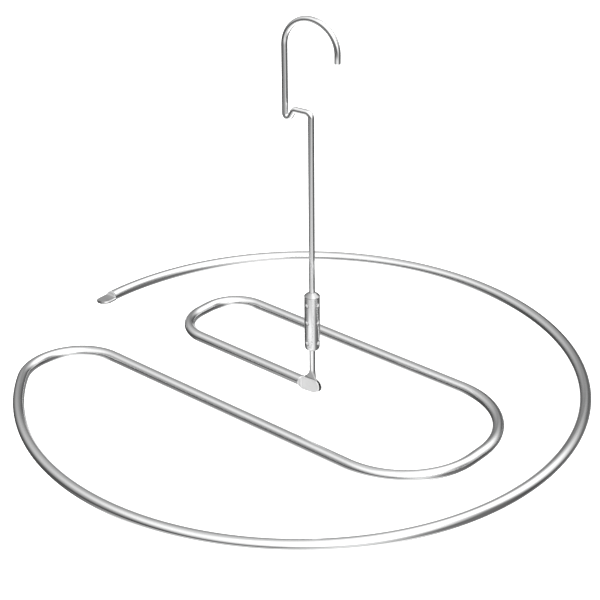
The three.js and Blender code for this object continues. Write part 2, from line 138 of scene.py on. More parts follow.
world = bpy.data.worlds.new("light_dome")
bpy.context.scene.world = world
world.use_nodes = True
dome = world.node_tree
dome.nodes.clear()
ray = dome.nodes.new("ShaderNodeTexCoord").outputs["Generated"]


def along(direction):
    """How far a ray points along a direction, from -1 to 1."""
    node = dome.nodes.new("ShaderNodeVectorMath")
    node.operation = "DOT_PRODUCT"
    dome.links.new(ray, node.inputs[0])
    node.inputs[1].default_value = direction
    return node.outputs["Value"]


def work_out(operation, *values):
    """A sum of the dome, from numbers and from the results of other sums."""
    node = dome.nodes.new("ShaderNodeMath")
    node.operation = operation
    for socket, value in zip(node.inputs, values):
        if isinstance(value, (int, float)):
            socket.default_value = value
        else:
            dome.links.new(value, socket)
    return node.outputs["Value"]


ray_azimuth = work_out("ARCTAN2", along(right), along(ahead))
ray_elevation = work_out("ARCSINE", along((0, 0, 1)))
ray_level = work_out("COSINE", ray_elevation)  # an azimuth counts for less towards the top
print("ahead is", [round(x, 3) for x in ahead], "and the right is", [round(x, 3) for x in right])

# %% [markdown]
# ### The soft lights
#
# Each light is an oval of its own width and height, brightest in its middle and faded out at its edge.
# The narrow ones ahead are what makes the sides of the tubes melt into the white ground. The camera
# itself sees plain white where the floor ends.

# %% Light dome
DIMMEST = 0.085
PLAIN_WHITE = 1.1


def glow(azimuth, elevation, width, height, strength):
    """The brightness of one soft light, with angles in degrees. Its width and height are from its middle."""
    turn = work_out("WRAP", work_out("SUBTRACT", ray_azimuth, math.radians(azimuth)), math.pi, -math.pi)
    across = work_out("DIVIDE", work_out("MULTIPLY", turn, ray_level), math.radians(width))
    rise = work_out("SUBTRACT", ray_elevation, math.radians(elevation))
    upward = work_out("DIVIDE", rise, math.radians(height))
    square = work_out("ADD", work_out("POWER", across, 2), work_out("POWER", upward, 2))
    soft = dome.nodes.new("ShaderNodeMapRange")
    soft.interpolation_type = "SMOOTHSTEP"
    soft.inputs["From Min"].default_value = 1
    soft.inputs["From Max"].default_value = 0
    soft.inputs["To Max"].default_value = strength
    dome.links.new(work_out("SQRT", square), soft.inputs["Value"])
    return soft.outputs["Result"]


glows = [
    glow(azimuth=0, elevation=90, width=130, height=79, strength=0.11),  # the ceiling
    glow(azimuth=150, elevation=39, width=49, height=72, strength=1.99),  # high, over the right shoulder
    glow(azimuth=-166, elevation=28, width=63, height=46, strength=1.15),  # behind the camera
    glow(azimuth=161, elevation=-13, width=32, height=120, strength=0.52),  # a tall strip beside the camera
    glow(azimuth=-158, elevation=-31, width=88, height=17.5, strength=0.83),  # a low band under the camera
    glow(azimuth=77, elevation=41, width=42, height=58, strength=1.59),  # from the right
    glow(azimuth=37, elevation=50, width=40, height=40, strength=0.79),  # high on the far right
    glow(azimuth=-71, elevation=32, width=98, height=48, strength=0.64),  # from the left
    glow(azimuth=-108, elevation=62, width=64, height=43, strength=0.73),  # high on the left
    glow(azimuth=5, elevation=-5, width=13, height=30, strength=2.00),  # the backdrop ahead
    glow(azimuth=-7, elevation=-55, width=20, height=61, strength=1.88),  # the ground before the backdrop
    glow(azimuth=26, elevation=-55, width=63, height=87, strength=0.29),  # the ground on the right
    glow(azimuth=110, elevation=-16, width=24, height=96, strength=0.10),  # a faint strip on the right
    glow(azimuth=-132, elevation=-64, width=88, height=29, strength=2.00),  # the ground below
]
total = DIMMEST
for light in glows:
    total = work_out("ADD", total, light)
dome_light = dome.nodes.new("ShaderNodeBackground")
dome.links.new(total, dome_light.inputs["Color"])
plain_white = dome.nodes.new("ShaderNodeBackground")
plain_white.inputs["Color"].default_value = (PLAIN_WHITE,) * 3 + (1,)
seen = dome.nodes.new("ShaderNodeLightPath")
choice = dome.nodes.new("ShaderNodeMixShader")
dome.links.new(seen.outputs["Is Camera Ray"], choice.inputs["Fac"])
dome.links.new(dome_light.outputs["Background"], choice.inputs[1])
dome.links.new(plain_white.outputs["Background"], choice.inputs[2])
world_output = dome.nodes.new("ShaderNodeOutputWorld")
dome.links.new(choice.outputs["Shader"], world_output.inputs["Surface"])
bpy.context.scene.view_settings.view_transform = "Standard"
print(len(glows), "soft lights in the dome")

# %% [markdown]
# ## Places where steel was worked
#
# Two attributes of a mesh change its finish from place to place: pressed makes it dull and grey, where
# dies have pressed the metal, and ground makes it pale and matt, where it has been ground or punched. A
# mask painted by hand could do that too, but an attribute follows the mesh and needs no picture.

# %% Worked finishes
PRESSED_ROUGHNESS = 0.40
PRESSED_TONE = 0.62
GROUND_ROUGHNESS = 0.5
GROUND_TONE = 0.60
GROUND_METAL = 0.3


def blend(tree, attribute, plain, worked):
    """A value that goes from plain, a number or a socket, to worked where an attribute says so."""
    spots = tree.nodes.new("ShaderNodeAttribute")
    spots.attribute_name = attribute
    node = tree.nodes.new("ShaderNodeMix")
    node.data_type = "RGBA" if isinstance(worked, tuple) else "FLOAT"
    tree.links.new(spots.outputs["Fac"], node.inputs["Factor"])
    if isinstance(plain, float):
        node.inputs["A"].default_value = plain
    else:
        tree.links.new(plain, node.inputs["A"])
    node.inputs["B"].default_value = worked
    return node.outputs["Result"]


def worked_places(tree, shader, colour, rough):
    """The colour and roughness of a steel, changed where it was pressed or ground."""
    colour = blend(tree, "pressed", colour, (PRESSED_TONE,) * 3 + (1,))
    rough = blend(tree, "pressed", rough, PRESSED_ROUGHNESS)
    colour = blend(tree, "ground", colour, (GROUND_TONE,) * 3 + (1,))
    rough = blend(tree, "ground", rough, GROUND_ROUGHNESS)
    tree.links.new(blend(tree, "ground", 1.0, GROUND_METAL), shader.inputs["Metallic"])
    return colour, rough


print("pressed steel has a tone of", PRESSED_TONE, "and ground steel of", GROUND_TONE)

# %% [markdown]
# ## Steel finishes
#
# All the metal is stainless steel, but each piece is finished in its own way: the tube is polished, the
# rod is bright drawn, the sleeve is satin, the bushes are turned on a lathe, and the weld is left matt.
# One function makes them all. A coarse cloudy noise shifts the gloss and the tone a little, as handling
# does, and a fine one raises the surface by a few hundredths of a millimetre at most. Stretching the fine
# noise turns specks into the lines of a tool, and such lines also stretch the reflections across them.

# %% Finishes
CLOUD_SCALE = 45  # clouds of about 20 mm
CLOUD_DETAIL = 4
CLOUD_RANGE = (0.3, 0.7)  # where most of the noise lies
DARK_CLOUD = (0.95, 0.955, 0.965)  # red, green and blue, as shares of the tone
PALE_CLOUD = (1.04, 1.04, 1.035)
GRAIN_DETAIL = 3
GRAIN_STRENGTH = 0.35
ACROSS = 0.25  # of a full turn
AROUND_Z = (0.04, 0.04, 1)  # lines that run round the stem, as a lathe leaves them


def steel(name, tone, roughness, spread, grain, relief, grain_shape=(1, 1, 1), worked=False, turned=0.0):
    """A steel with a tone from 0 to 1, a roughness that varies by a spread, and so many grains per metre."""
    finish = bpy.data.materials.new(name)
    finish.use_nodes = True
    tree = finish.node_tree
    shader = tree.nodes["Principled BSDF"]
    shader.inputs["Metallic"].default_value = 1.0

    place = tree.nodes.new("ShaderNodeTexCoord")
    cloud = tree.nodes.new("ShaderNodeTexNoise")
    cloud.inputs["Scale"].default_value = CLOUD_SCALE
    cloud.inputs["Detail"].default_value = CLOUD_DETAIL
    tree.links.new(place.outputs["Object"], cloud.inputs["Vector"])

    tint = tree.nodes.new("ShaderNodeMix")
    tint.data_type = "RGBA"
    tint.inputs["A"].default_value = tuple(tone * share for share in DARK_CLOUD) + (1,)
    tint.inputs["B"].default_value = tuple(tone * share for share in PALE_CLOUD) + (1,)
    tree.links.new(cloud.outputs["Fac"], tint.inputs["Factor"])
    colour = tint.outputs["Result"]

    gloss = tree.nodes.new("ShaderNodeMapRange")
    gloss.inputs["From Min"].default_value, gloss.inputs["From Max"].default_value = CLOUD_RANGE
    gloss.inputs["To Min"].default_value = roughness - spread
    gloss.inputs["To Max"].default_value = roughness + spread
    tree.links.new(cloud.outputs["Fac"], gloss.inputs["Value"])
    rough = gloss.outputs["Result"]
    if worked:
        colour, rough = worked_places(tree, shader, colour, rough)
    tree.links.new(colour, shader.inputs["Base Color"])
    tree.links.new(rough, shader.inputs["Roughness"])

    stretch = tree.nodes.new("ShaderNodeMapping")
    stretch.inputs["Scale"].default_value = grain_shape
    tree.links.new(place.outputs["Object"], stretch.inputs["Vector"])
    specks = tree.nodes.new("ShaderNodeTexNoise")
    specks.inputs["Scale"].default_value = grain
    specks.inputs["Detail"].default_value = GRAIN_DETAIL
    tree.links.new(stretch.outputs["Vector"], specks.inputs["Vector"])
    raised = tree.nodes.new("ShaderNodeBump")
    raised.inputs["Strength"].default_value = GRAIN_STRENGTH
    raised.inputs["Distance"].default_value = relief
    tree.links.new(specks.outputs["Fac"], raised.inputs["Height"])
    tree.links.new(raised.outputs["Normal"], shader.inputs["Normal"])
    if turned:
        lathe = tree.nodes.new("ShaderNodeTangent")
        lathe.direction_type = "RADIAL"
        lathe.axis = "Z"
        tree.links.new(lathe.outputs["Tangent"], shader.inputs["Tangent"])
        shader.inputs["Anisotropic"].default_value = turned
        shader.inputs["Anisotropic Rotation"].default_value = ACROSS
    print(name, "has a tone of", tone, "and a roughness of", roughness)
    return finish


polished_tube = steel(
    "polished_tube", tone=0.80, roughness=0.13, spread=0.03, grain=1200, relief=0.006 * MM, worked=True
)
drawn_rod = steel(
    "drawn_rod", tone=0.82, roughness=0.12, spread=0.03, grain=1500, relief=0.006 * MM, worked=True
)
satin_sleeve = steel(
    "satin_sleeve", tone=0.80, roughness=0.18, spread=0.03, grain=2500, relief=0.004 * MM,
    grain_shape=AROUND_Z, worked=True,
)
turned_steel = steel(
    "turned_steel", tone=0.54, roughness=0.32, spread=0.04, grain=3000, relief=0.02 * MM,
    grain_shape=AROUND_Z, turned=0.9,
)
matt_weld = steel("matt_weld", tone=0.38, roughness=0.5, spread=0.08, grain=1800, relief=0.06 * MM)

# %% [markdown]
# ## Working with rings
#
# A bent tube is drawn the way it is bent: a ring of points is pushed straight ahead for a straight, and
# spun about the middle of a bend for a turn. A turned piece is drawn the same way, with the ring also
# scaled at every step. These helpers do the pushing, spinning, selecting and closing. Each acts on the
# points that are selected, which after a push or a spin is the newest ring.

# %% Ring helpers
TINY = 0.002 * MM


def start_ring(name, radius, sides, place, heading):
    """Adds a ring of points across a heading, and opens it for editing."""
    bpy.ops.object.select_all(action="DESELECT")
    turn = Vector(heading).to_track_quat("Z", "Y").to_euler()
    bpy.ops.mesh.primitive_circle_add(vertices=sides, radius=radius, location=place, rotation=turn)
    piece = bpy.context.object
    piece.name = name
    piece.data.name = name
    bpy.ops.object.transform_apply(location=True, rotation=True, scale=True)
    bpy.ops.object.mode_set(mode="EDIT")
    bpy.ops.mesh.select_mode(type="VERT")
    bpy.ops.mesh.select_all(action="SELECT")
    return piece


def push(step):
    """Draws the newest ring out by a step."""
    bpy.ops.mesh.extrude_region_move(TRANSFORM_OT_translate={"value": tuple(step)})


def bend(middle, axis, degrees, pitch):
    """Swings the newest ring round an axis, with a ring at about every pitch degrees."""
    steps = max(1, math.ceil(abs(degrees) / pitch))
    bpy.ops.mesh.spin(steps=steps, angle=-math.radians(degrees), center=tuple(middle), axis=tuple(axis))


def select_points(test):
    """Selects the points whose place passes a test."""
    bpy.ops.mesh.select_all(action="DESELECT")
    mesh = bmesh.from_edit_mesh(bpy.context.object.data)
    for point in mesh.verts:
        point.select = test(point.co)
    mesh.select_flush(True)
    bmesh.update_edit_mesh(bpy.context.object.data)


def on_ring(middle, heading, reach):
    """A test for the points of the ring that lies across a heading at a place."""
    middle = Vector(middle)
    heading = Vector(heading)

    def test(point):
        offset = point - middle
        return abs(offset.dot(heading)) < TINY and offset.length < reach

    return test


def smooth_step(value, low, high):
    """A share that eases from 0 at low to 1 at high."""
    share = min(1, max(0, (value - low) / (high - low)))
    return share * share * (3 - 2 * share)


def mix(a, b, share):
    """What lies between a and b, at a share of the way."""
    return a + (b - a) * share


def finish_piece(piece, finish, body, node, smooth=40):
    """Closes doubled seams, turns the faces outwards, smooths them, and ties the piece to the frame."""
    bpy.ops.mesh.select_all(action="SELECT")
    bpy.ops.mesh.remove_doubles(threshold=TINY)
    bpy.ops.mesh.normals_make_consistent(inside=False)
    bpy.ops.object.mode_set(mode="OBJECT")
    bpy.ops.object.shade_smooth_by_angle(angle=math.radians(smooth))
    piece.data.materials.append(finish)
    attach(piece, body)
    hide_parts(node)
    print(piece.name, "has", len(piece.data.polygons), "faces and replaces", node)


print("points closer than", TINY, "metres count as one")

# %% [markdown]
# ## The spiral tube
#
# The tube starts under the stem, runs out along a straight, turns back round a small bend, runs to the
# far side, turns round a wide bend, comes back, and then swings the other way into the big ring. A curve
# with a bevel could draw it too. Pushing and spinning a ring is chosen because it is how the tube is
# bent, and because the two ends can then be pressed flat ring by ring.

# %% Spiral tube
TUBE_RADIUS = 5 * MM
TUBE_SIDES = 40
RACK_Z = -328 * MM
RING_OUTSIDE = 250 * MM
CHORD = 0.25 * MM  # the frame's ring is a polygon, whose sides lie this far inside the circle
RING_RADIUS = RING_OUTSIDE - TUBE_RADIUS - CHORD
RING_MIDDLE = Vector((-12.8 * MM, 0.6 * MM, RACK_Z))
RING_EASE = 2.6 * MM  # how much tighter the ring is bent towards its outer end
RING_EASE_FROM = 95  # degrees round the ring to where that starts
RING_END = 183.9  # degrees round the ring to the tip of the outer end
INNER_TURN = (35.6 * MM, 11.5 * MM, 33.6 * MM)  # radius of a quarter, a short straight, radius of a quarter
WIDE_TURN = (72.9 * MM, 13.5 * MM, 70.9 * MM)
OUTER_TURN = 47 * MM
INNER_GAP = 78.9 * MM  # clear width between the inner turn and the ring
WIDE_GAP = 47.7 * MM  # clear width between the wide turn and the ring
STEM_INSET = 9.8 * MM  # from the inner tip back to the stem
INNER_FLAT = 20.5 * MM
INNER_TAPER = 3 * MM  # from the pressed flat to the full round
OUTER_FLAT = 14 * MM
OUTER_TAPER = 3.5 * MM
UP = Vector((0, 0, 1))

inner_x = RING_MIDDLE.x - RING_OUTSIDE + 3 * TUBE_RADIUS + INNER_GAP  # the far side of the inner turn
wide_x = RING_MIDDLE.x + RING_OUTSIDE - 3 * TUBE_RADIUS - WIDE_GAP
rear_y = sum(INNER_TURN)
front_y = rear_y - sum(WIDE_TURN)
outer_y = front_y - OUTER_TURN
fall = outer_y - RING_MIDDLE.y
outer_x = RING_MIDDLE.x - math.sqrt((RING_RADIUS - OUTER_TURN) ** 2 - fall ** 2)
touch = math.degrees(math.atan2(fall, outer_x - RING_MIDDLE.x)) + 360  # where the outer turn meets the ring
ease = math.radians(RING_EASE_FROM)
eased_middle = RING_MIDDLE + Vector((math.cos(ease), math.sin(ease), 0)) * RING_EASE
eased_radius = RING_RADIUS - RING_EASE
outer_turned = math.degrees((OUTER_FLAT + OUTER_TAPER) / eased_radius)  # left for the outer end

inner_root = Vector((STEM_INSET - INNER_FLAT - INNER_TAPER, 0, RACK_Z))
tube = start_ring("bent_tube", TUBE_RADIUS, TUBE_SIDES, inner_root, (-1, 0, 0))
push((inner_x + INNER_TURN[0] - inner_root.x, 0, 0))
bend((inner_x + INNER_TURN[0], INNER_TURN[0], RACK_Z), UP, -90, pitch=4)
push((0, INNER_TURN[1], 0))
bend((inner_x + INNER_TURN[2], rear_y - INNER_TURN[2], RACK_Z), UP, -90, pitch=4)
push((wide_x - WIDE_TURN[0] - inner_x - INNER_TURN[2], 0, 0))
bend((wide_x - WIDE_TURN[0], rear_y - WIDE_TURN[0], RACK_Z), UP, -90, pitch=3)
push((0, -WIDE_TURN[1], 0))
bend((wide_x - WIDE_TURN[2], front_y + WIDE_TURN[2], RACK_Z), UP, -90, pitch=3)
push((outer_x - wide_x + WIDE_TURN[2], 0, 0))
bend((outer_x, outer_y, RACK_Z), UP, touch - 90, pitch=4)
bend(RING_MIDDLE, UP, RING_EASE_FROM + 360 - touch, pitch=1.5)
bend(eased_middle, UP, RING_END - RING_EASE_FROM - outer_turned, pitch=1.5)
print("the ring starts at", round(touch, 1), "degrees, and the rear straight lies at y =", round(rear_y, 4))

# %% [markdown]
# ## Pressing a ring flat
#
# Both ends of the tube are squeezed flat in a press, which leaves a paddle with a thin slit where the
# bore was. A lattice could flatten an end at one go, but its wall would come out uneven. Here every ring
# of an end is squeezed by itself: scaled thin and wide, levelled on both sides to two flat faces, and
# moved to the side to which the flat leans. The flat is as wide as half the tube's girth allows.

# %% Pressing helpers
TUBE_WALL = 0.7 * MM
PRESSED_SLIT = 1.4 * MM
PRESSED_LEAN = 0.7  # 0 spreads a flat evenly, 1 keeps one edge in line with the tube
ROUNDER = 1.1  # how much thicker than its flats a pressed ring is scaled, before it is levelled
TAPER_STEPS = 9
CORNER_STEPS = 7

pressed_thickness = 2 * TUBE_WALL + PRESSED_SLIT
pressed_width = math.pi / 2 * (2 * TUBE_RADIUS - pressed_thickness) + pressed_thickness - CHORD
pressed_shift = PRESSED_LEAN * (pressed_width / 2 - TUBE_RADIUS)


def squeeze(middle, heading, thin, radius, half_thin, half_wide, share, shift):
    """Presses a round ring to new half sizes, across and along its flats. The share says how flat it is."""
    ring = on_ring(middle, heading, 2 * max(radius, half_wide))
    select_points(ring)
    thinner = half_thin * (1 + ROUNDER * share) / radius
    wider = half_wide / radius
    bpy.ops.transform.resize(
        value=[thinner if axis else wider for axis in thin], center_override=tuple(middle)
    )
    for side in (1, -1):
        level = Vector(middle) + Vector(thin) * side * half_thin
        select_points(lambda p: ring(p) and (p - level).dot(Vector(thin)) * side > 0)
        bpy.ops.transform.resize(value=[0 if axis else 1 for axis in thin], center_override=tuple(level))
    select_points(ring)
    bpy.ops.transform.translate(value=tuple(shift))


def press_stations(flat, taper, corners):
    """Distances from the tip of an end: down its taper, along its flat and round its corners."""
    stations = {flat + taper * (1 - k / TAPER_STEPS) for k in range(1, TAPER_STEPS + 1)}
    for length, depth in corners:
        stations |= {length * (1 - math.sin(k / CORNER_STEPS * math.pi / 2)) for k in range(CORNER_STEPS)}
    return sorted(stations, reverse=True) + [0]


def trims(distance, corners):
    """How much the corners take off the spreading side and the opposite side at a distance from the tip."""
    return [depth * (1 - math.sqrt(1 - max(0, 1 - distance / length) ** 2)) for length, depth in corners]


def lean(distance, flat, corners, rise):
    """How far the middle of a flat lies to its spreading side. Its tip is bent back from there by a rise."""
    spreading, opposite = trims(distance, corners)
    return pressed_shift + (opposite - spreading) / 2 - rise * max(0, 1 - distance / flat)


def press_end(flat, taper, corners, rise, place_at, heading_at, thin, spread_at):
    """Presses one end, given its middle line, heading and spreading side at a distance from the tip."""
    for distance in press_stations(flat, taper, corners):
        share = 1 - smooth_step(distance, flat, flat + taper)
        squeeze(
            place_at(distance), heading_at(distance), thin, TUBE_RADIUS,
            half_thin=mix(TUBE_RADIUS, pressed_thickness / 2, share),
            half_wide=mix(TUBE_RADIUS, pressed_width / 2, share) - sum(trims(distance, corners)) / 2,
            share=share,
            shift=spread_at(distance) * lean(distance, flat, corners, rise) * share,
        )


print("flats are", round(pressed_width / MM, 2), "mm wide and", round(pressed_thickness / MM, 2), "mm thick")

# %% [markdown]
# ## The pressed ends
#
# The inner end stands upright under the stem, spreads mostly downwards and is bent up a little at its
# tip. The outer end lies level and spreads mostly into the ring, and its corners are rounded, so that
# neither can catch the cloth. Round rings are drawn first, close together, and are then pressed.

# %% Pressed ends
OUTER_CORNERS = ((8 * MM, 6.5 * MM), (4 * MM, 3 * MM))  # length and depth, on the spreading side and opposite
NOSE_RADIUS = 6 * MM  # of the round nose to which the inner tip is cut
INNER_CORNERS = ((NOSE_RADIUS, 0), (NOSE_RADIUS, 0))  # square, until the nose is cut
INNER_RISE = 2 * MM  # how far the tip of the inner flat is bent up


def inner_place(distance):
    """The tube's middle at a distance from the inner tip."""
    return Vector((STEM_INSET - distance, 0, RACK_Z))


def ring_out(distance):
    """From the eased ring's middle out towards the outer end, at a distance from its tip."""
    angle = math.radians(RING_END) - distance / eased_radius
    return Vector((math.cos(angle), math.sin(angle), 0))


def ring_ahead(distance):
    """The way the tube runs at a distance from the outer tip."""
    return UP.cross(ring_out(distance))


previous = OUTER_FLAT + OUTER_TAPER
for distance in press_stations(OUTER_FLAT, OUTER_TAPER, OUTER_CORNERS):
    bend(eased_middle, UP, math.degrees((previous - distance) / eased_radius), pitch=360)
    previous = distance
select_points(on_ring(inner_root, (1, 0, 0), 2 * TUBE_RADIUS))
previous = INNER_FLAT + INNER_TAPER
for distance in press_stations(INNER_FLAT, INNER_TAPER, INNER_CORNERS):
    push((previous - distance, 0, 0))
    previous = distance

press_end(
    INNER_FLAT, INNER_TAPER, INNER_CORNERS, INNER_RISE,
    inner_place,
    lambda distance: Vector((1, 0, 0)),
    (0, 1, 0),
    lambda distance: -UP,
)
press_end(
    OUTER_FLAT, OUTER_TAPER, OUTER_CORNERS, 0,
    lambda distance: eased_middle + ring_out(distance) * eased_radius,
    ring_ahead,
    (0, 0, 1),
    lambda distance: -ring_out(distance),
)
inner_tip = inner_place(0) - UP * lean(0, INNER_FLAT, INNER_CORNERS, INNER_RISE)
outer_tip = eased_middle + ring_out(0) * (eased_radius - lean(0, OUTER_FLAT, OUTER_CORNERS, 0))
print("the inner tip is at", [round(x, 4) for x in inner_tip])
print("the outer tip is at", [round(x, 4) for x in outer_tip])

# %% [markdown]
# ### The cut tips
#
# The inner tip is sheared to a round nose, at a slant, so that its near wall ends behind its far one and
# the slit shows. A boolean with a slanted cylinder would do it too. A row of bisects is simpler, because
# each fills its own cut, and the fills together are the face into which the slit is sunk: an inset leaves
# the two walls, and a push goes in along the flat.

# %% Cut tips
NOSE_SWEEP = 60  # degrees, to each side
NOSE_CUTS = 9
CUT_BACK = 1.7 * MM  # how far the near wall of the inner tip ends behind the far one
CUT_INSET = 0.2 * MM  # of the far wall, from the tip of the frame's tube
LIP_WALL = 0.7 * MM
SLIT_DEPTH = 8 * MM
SLIT_LIP = 0.4 * MM

nose_middle = inner_tip + Vector((-CUT_INSET - NOSE_RADIUS, pressed_thickness / 2, 0))
nose_cuts = []
for k in range(NOSE_CUTS):
    angle = math.radians(mix(-NOSE_SWEEP, NOSE_SWEEP, k / (NOSE_CUTS - 1)))
    out = Vector((math.cos(angle), 0, math.sin(angle)))
    normal = Vector((out.x * pressed_thickness, -out.x * CUT_BACK, out.z * pressed_thickness)).normalized()
    nose_cuts.append((nose_middle + out * NOSE_RADIUS, normal))


def on_inner_end(point):
    """Whether a point belongs to the inner flat."""
    return (point - inner_tip).length < INNER_FLAT + INNER_TAPER


def on_nose(point):
    """Whether a point lies on the cut face of the inner tip."""
    return on_inner_end(point) and any(abs((point - place).dot(normal)) < TINY for place, normal in nose_cuts)


def cut_slit(heading, wall):
    """Sinks the slit of the flattened bore into the face that closes a tip."""
    bpy.ops.mesh.inset(thickness=wall)
    push(heading * -SLIT_LIP)
    push(heading * (SLIT_LIP - SLIT_DEPTH))


select_points(on_ring(inner_tip, (1, 0, 0), pressed_width))
bpy.ops.mesh.edge_face_add()
for place, normal in nose_cuts:
    select_points(on_inner_end)
    bpy.ops.mesh.bisect(
        plane_co=tuple(place), plane_no=tuple(normal), use_fill=True, clear_outer=True, threshold=TINY / 2
    )
select_points(on_nose)
cut_slit(Vector((INNER_FLAT, 0, INNER_RISE)).normalized(), LIP_WALL)
select_points(on_ring(outer_tip, ring_ahead(0), pressed_width))
bpy.ops.mesh.edge_face_add()
cut_slit(ring_ahead(0), TUBE_WALL)
finish_piece(tube, polished_tube, "rack", "spiral_tube")

# %% [markdown]
# ### Where the metal was worked
#
# The dies leave the outer flat duller than the polished tube, and the inner flat was ground bright for
# the weld. The finishes read that from the attributes, which are 1 near a place and fade to 0 farther
# away.

# %% Worked places
def in_edges(place):
    """Whether a point lies in the slit or on an edge of the inner flat, but not on its cut face."""
    return abs(place.y) < pressed_thickness / 2 - TUBE_WALL / 2 and not on_nose(place)


def mark(piece, attribute, places, near, far, leave_out=lambda place: False):
    """Gives every point a value that is 1 within near of one of the places and 0 beyond far."""
    marks = piece.data.attributes.new(attribute, "FLOAT", "POINT")
    values = []
    for point in piece.data.vertices:
        distance = min((point.co - place).length for place in places)
        values.append(0 if leave_out(point.co) else 1 - smooth_step(distance, near, far))
    marks.data.foreach_set("value", values)
    print(sum(value > 0 for value in values), "points of", piece.name, "are", attribute)


mark(tube, "pressed", [outer_tip], OUTER_FLAT, OUTER_FLAT + OUTER_TAPER)
mark(tube, "ground", [inner_tip], INNER_FLAT, INNER_FLAT + INNER_TAPER, leave_out=in_edges)

# %% [markdown]
# ## The hook
#
# The hook is one bent rod. At its lower end it is upset into a head, which turns inside the swivel and
# carries the whole rack. The stem rises to a crank, which dips into a small notch and goes on into a
# round arch. All its bends lie in one plane, turned a little from the straights of the spiral. It is
# drawn as the tube is, from the head up, because every bend then starts where the last one ended.

# %% Hook
ROD_RADIUS = 2.6 * MM
ROD_SIDES = 32
HOOK_TURN = math.radians(8.7)
HOOK_RADIUS = 24.7 * MM
HOOK_TIP = 7.5 * MM
HOOK_TIP_ROUND = 0.5 * MM
CRANK_Z = -75.9 * MM
CRANK_SLOPE = 60  # degrees
CRANK_LEG = 5.2 * MM
STEM_BEND = ROD_RADIUS + 1.5 * MM
CRANK_BEND = ROD_RADIUS + 0.5 * MM
NOTCH_BEND = ROD_RADIUS + 0.2 * MM
HEAD_RADIUS = ROD_RADIUS + 1.5 * MM
HEAD_LENGTH = 4 * MM
HEAD_EDGE = 0.4 * MM

opening = Vector((math.cos(HOOK_TURN), math.sin(HOOK_TURN), 0))  # the way the hook opens
hook_axis = opening.cross(UP)
slope_sin = math.sin(math.radians(CRANK_SLOPE))
slope_cos = math.cos(math.radians(CRANK_SLOPE))


def in_hook(x, z):
    """A place in the hook's plane."""
    return opening * x + UP * z


head_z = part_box("hook_rod")[0].z
arch_z = ROD_RADIUS - HOOK_RADIUS
notch_x = NOTCH_BEND - HOOK_RADIUS
crank_x = notch_x + (NOTCH_BEND + CRANK_BEND) * slope_sin + CRANK_LEG * slope_cos
notch_z = CRANK_Z - CRANK_BEND * (1 - slope_cos) - CRANK_LEG * slope_sin + NOTCH_BEND * slope_cos

hook = start_ring("bent_hook", HEAD_RADIUS, ROD_SIDES, (0, 0, head_z), UP)
push((0, 0, HEAD_LENGTH))
push((0, 0, 0))
bpy.ops.transform.resize(value=(ROD_RADIUS / HEAD_RADIUS,) * 3, center_override=(0, 0, head_z + HEAD_LENGTH))
push((0, 0, CRANK_Z - STEM_BEND - head_z - HEAD_LENGTH))
bend(in_hook(-STEM_BEND, CRANK_Z - STEM_BEND), hook_axis, 90, pitch=6)
push(opening * (crank_x + STEM_BEND))
bend(in_hook(crank_x, CRANK_Z - CRANK_BEND), hook_axis, CRANK_SLOPE, pitch=8)
push(in_hook(-slope_cos, -slope_sin) * CRANK_LEG)
bend(in_hook(notch_x, notch_z), hook_axis, -90 - CRANK_SLOPE, pitch=8)
push((0, 0, arch_z - notch_z))
bend(in_hook(0, arch_z), hook_axis, -180, pitch=4)
push((0, 0, -HOOK_TIP))
bpy.ops.mesh.edge_face_add()
bpy.ops.mesh.bevel(offset=HOOK_TIP_ROUND, segments=3, affect="EDGES")
select_points(on_ring((0, 0, head_z), UP, 2 * HEAD_RADIUS))
bpy.ops.mesh.edge_face_add()
bpy.ops.mesh.bevel(offset=HEAD_EDGE, segments=2, affect="EDGES")
finish_piece(hook, drawn_rod, "hook", "hook_rod")

# %% [markdown]
# ## Turning a profile
#
# The bushes and the plug come off a lathe, so each is a profile turned about the stem. The screw modifier
# does that in one step. By hand it is one ring, pushed up or down and scaled for every corner of the
# profile, which needs no helper object and leaves the faces in rows.

# %% Turning helper
TURNED_SIDES = 96


def turn_profile(name, profile):
    """Turns a profile of radius and height about the stem. One that ends where it starts closes on itself."""
    radius, height = profile[0]
    piece = start_ring(name, radius, TURNED_SIDES, (0, 0, height), UP)
    for next_radius, next_height in profile[1:]:
        push((0, 0, next_height - height))
        ratio = next_radius / radius
        bpy.ops.transform.resize(value=(ratio, ratio, 1), center_override=(0, 0, next_height))
        radius, height = next_radius, next_height
    bpy.ops.mesh.select_all(action="SELECT")
    bpy.ops.mesh.remove_doubles(threshold=TINY)
    return piece


print("turned pieces have", TURNED_SIDES, "sides")

# %% [markdown]
# ## The upper bush
#
# The upper bush guides the stem and closes the sleeve with a cone, flush with it. The cone's shoulder is
# an arc that ends at the slope of the cone, so that no line shows between the two.

# %% Upper bush
SLEEVE_RADIUS = 6.75 * MM
SLEEVE_BORE = 5.75 * MM
RUNNING_BORE = ROD_RADIUS + 0.05 * MM  # so that the stem turns freely
CAP_SLOPE = math.radians(41)  # of the cone, from level
CAP_STRAIGHT = 0.3 * MM
CAP_SHOULDER = 0.8 * MM
CAP_STEPS = 6
CAP_LIP = 0.35 * MM  # wall left round the bore at the tip of the cone
sleeve_low, sleeve_high = (corner.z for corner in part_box("swivel_sleeve"))
bush_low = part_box("top_bush")[0].z

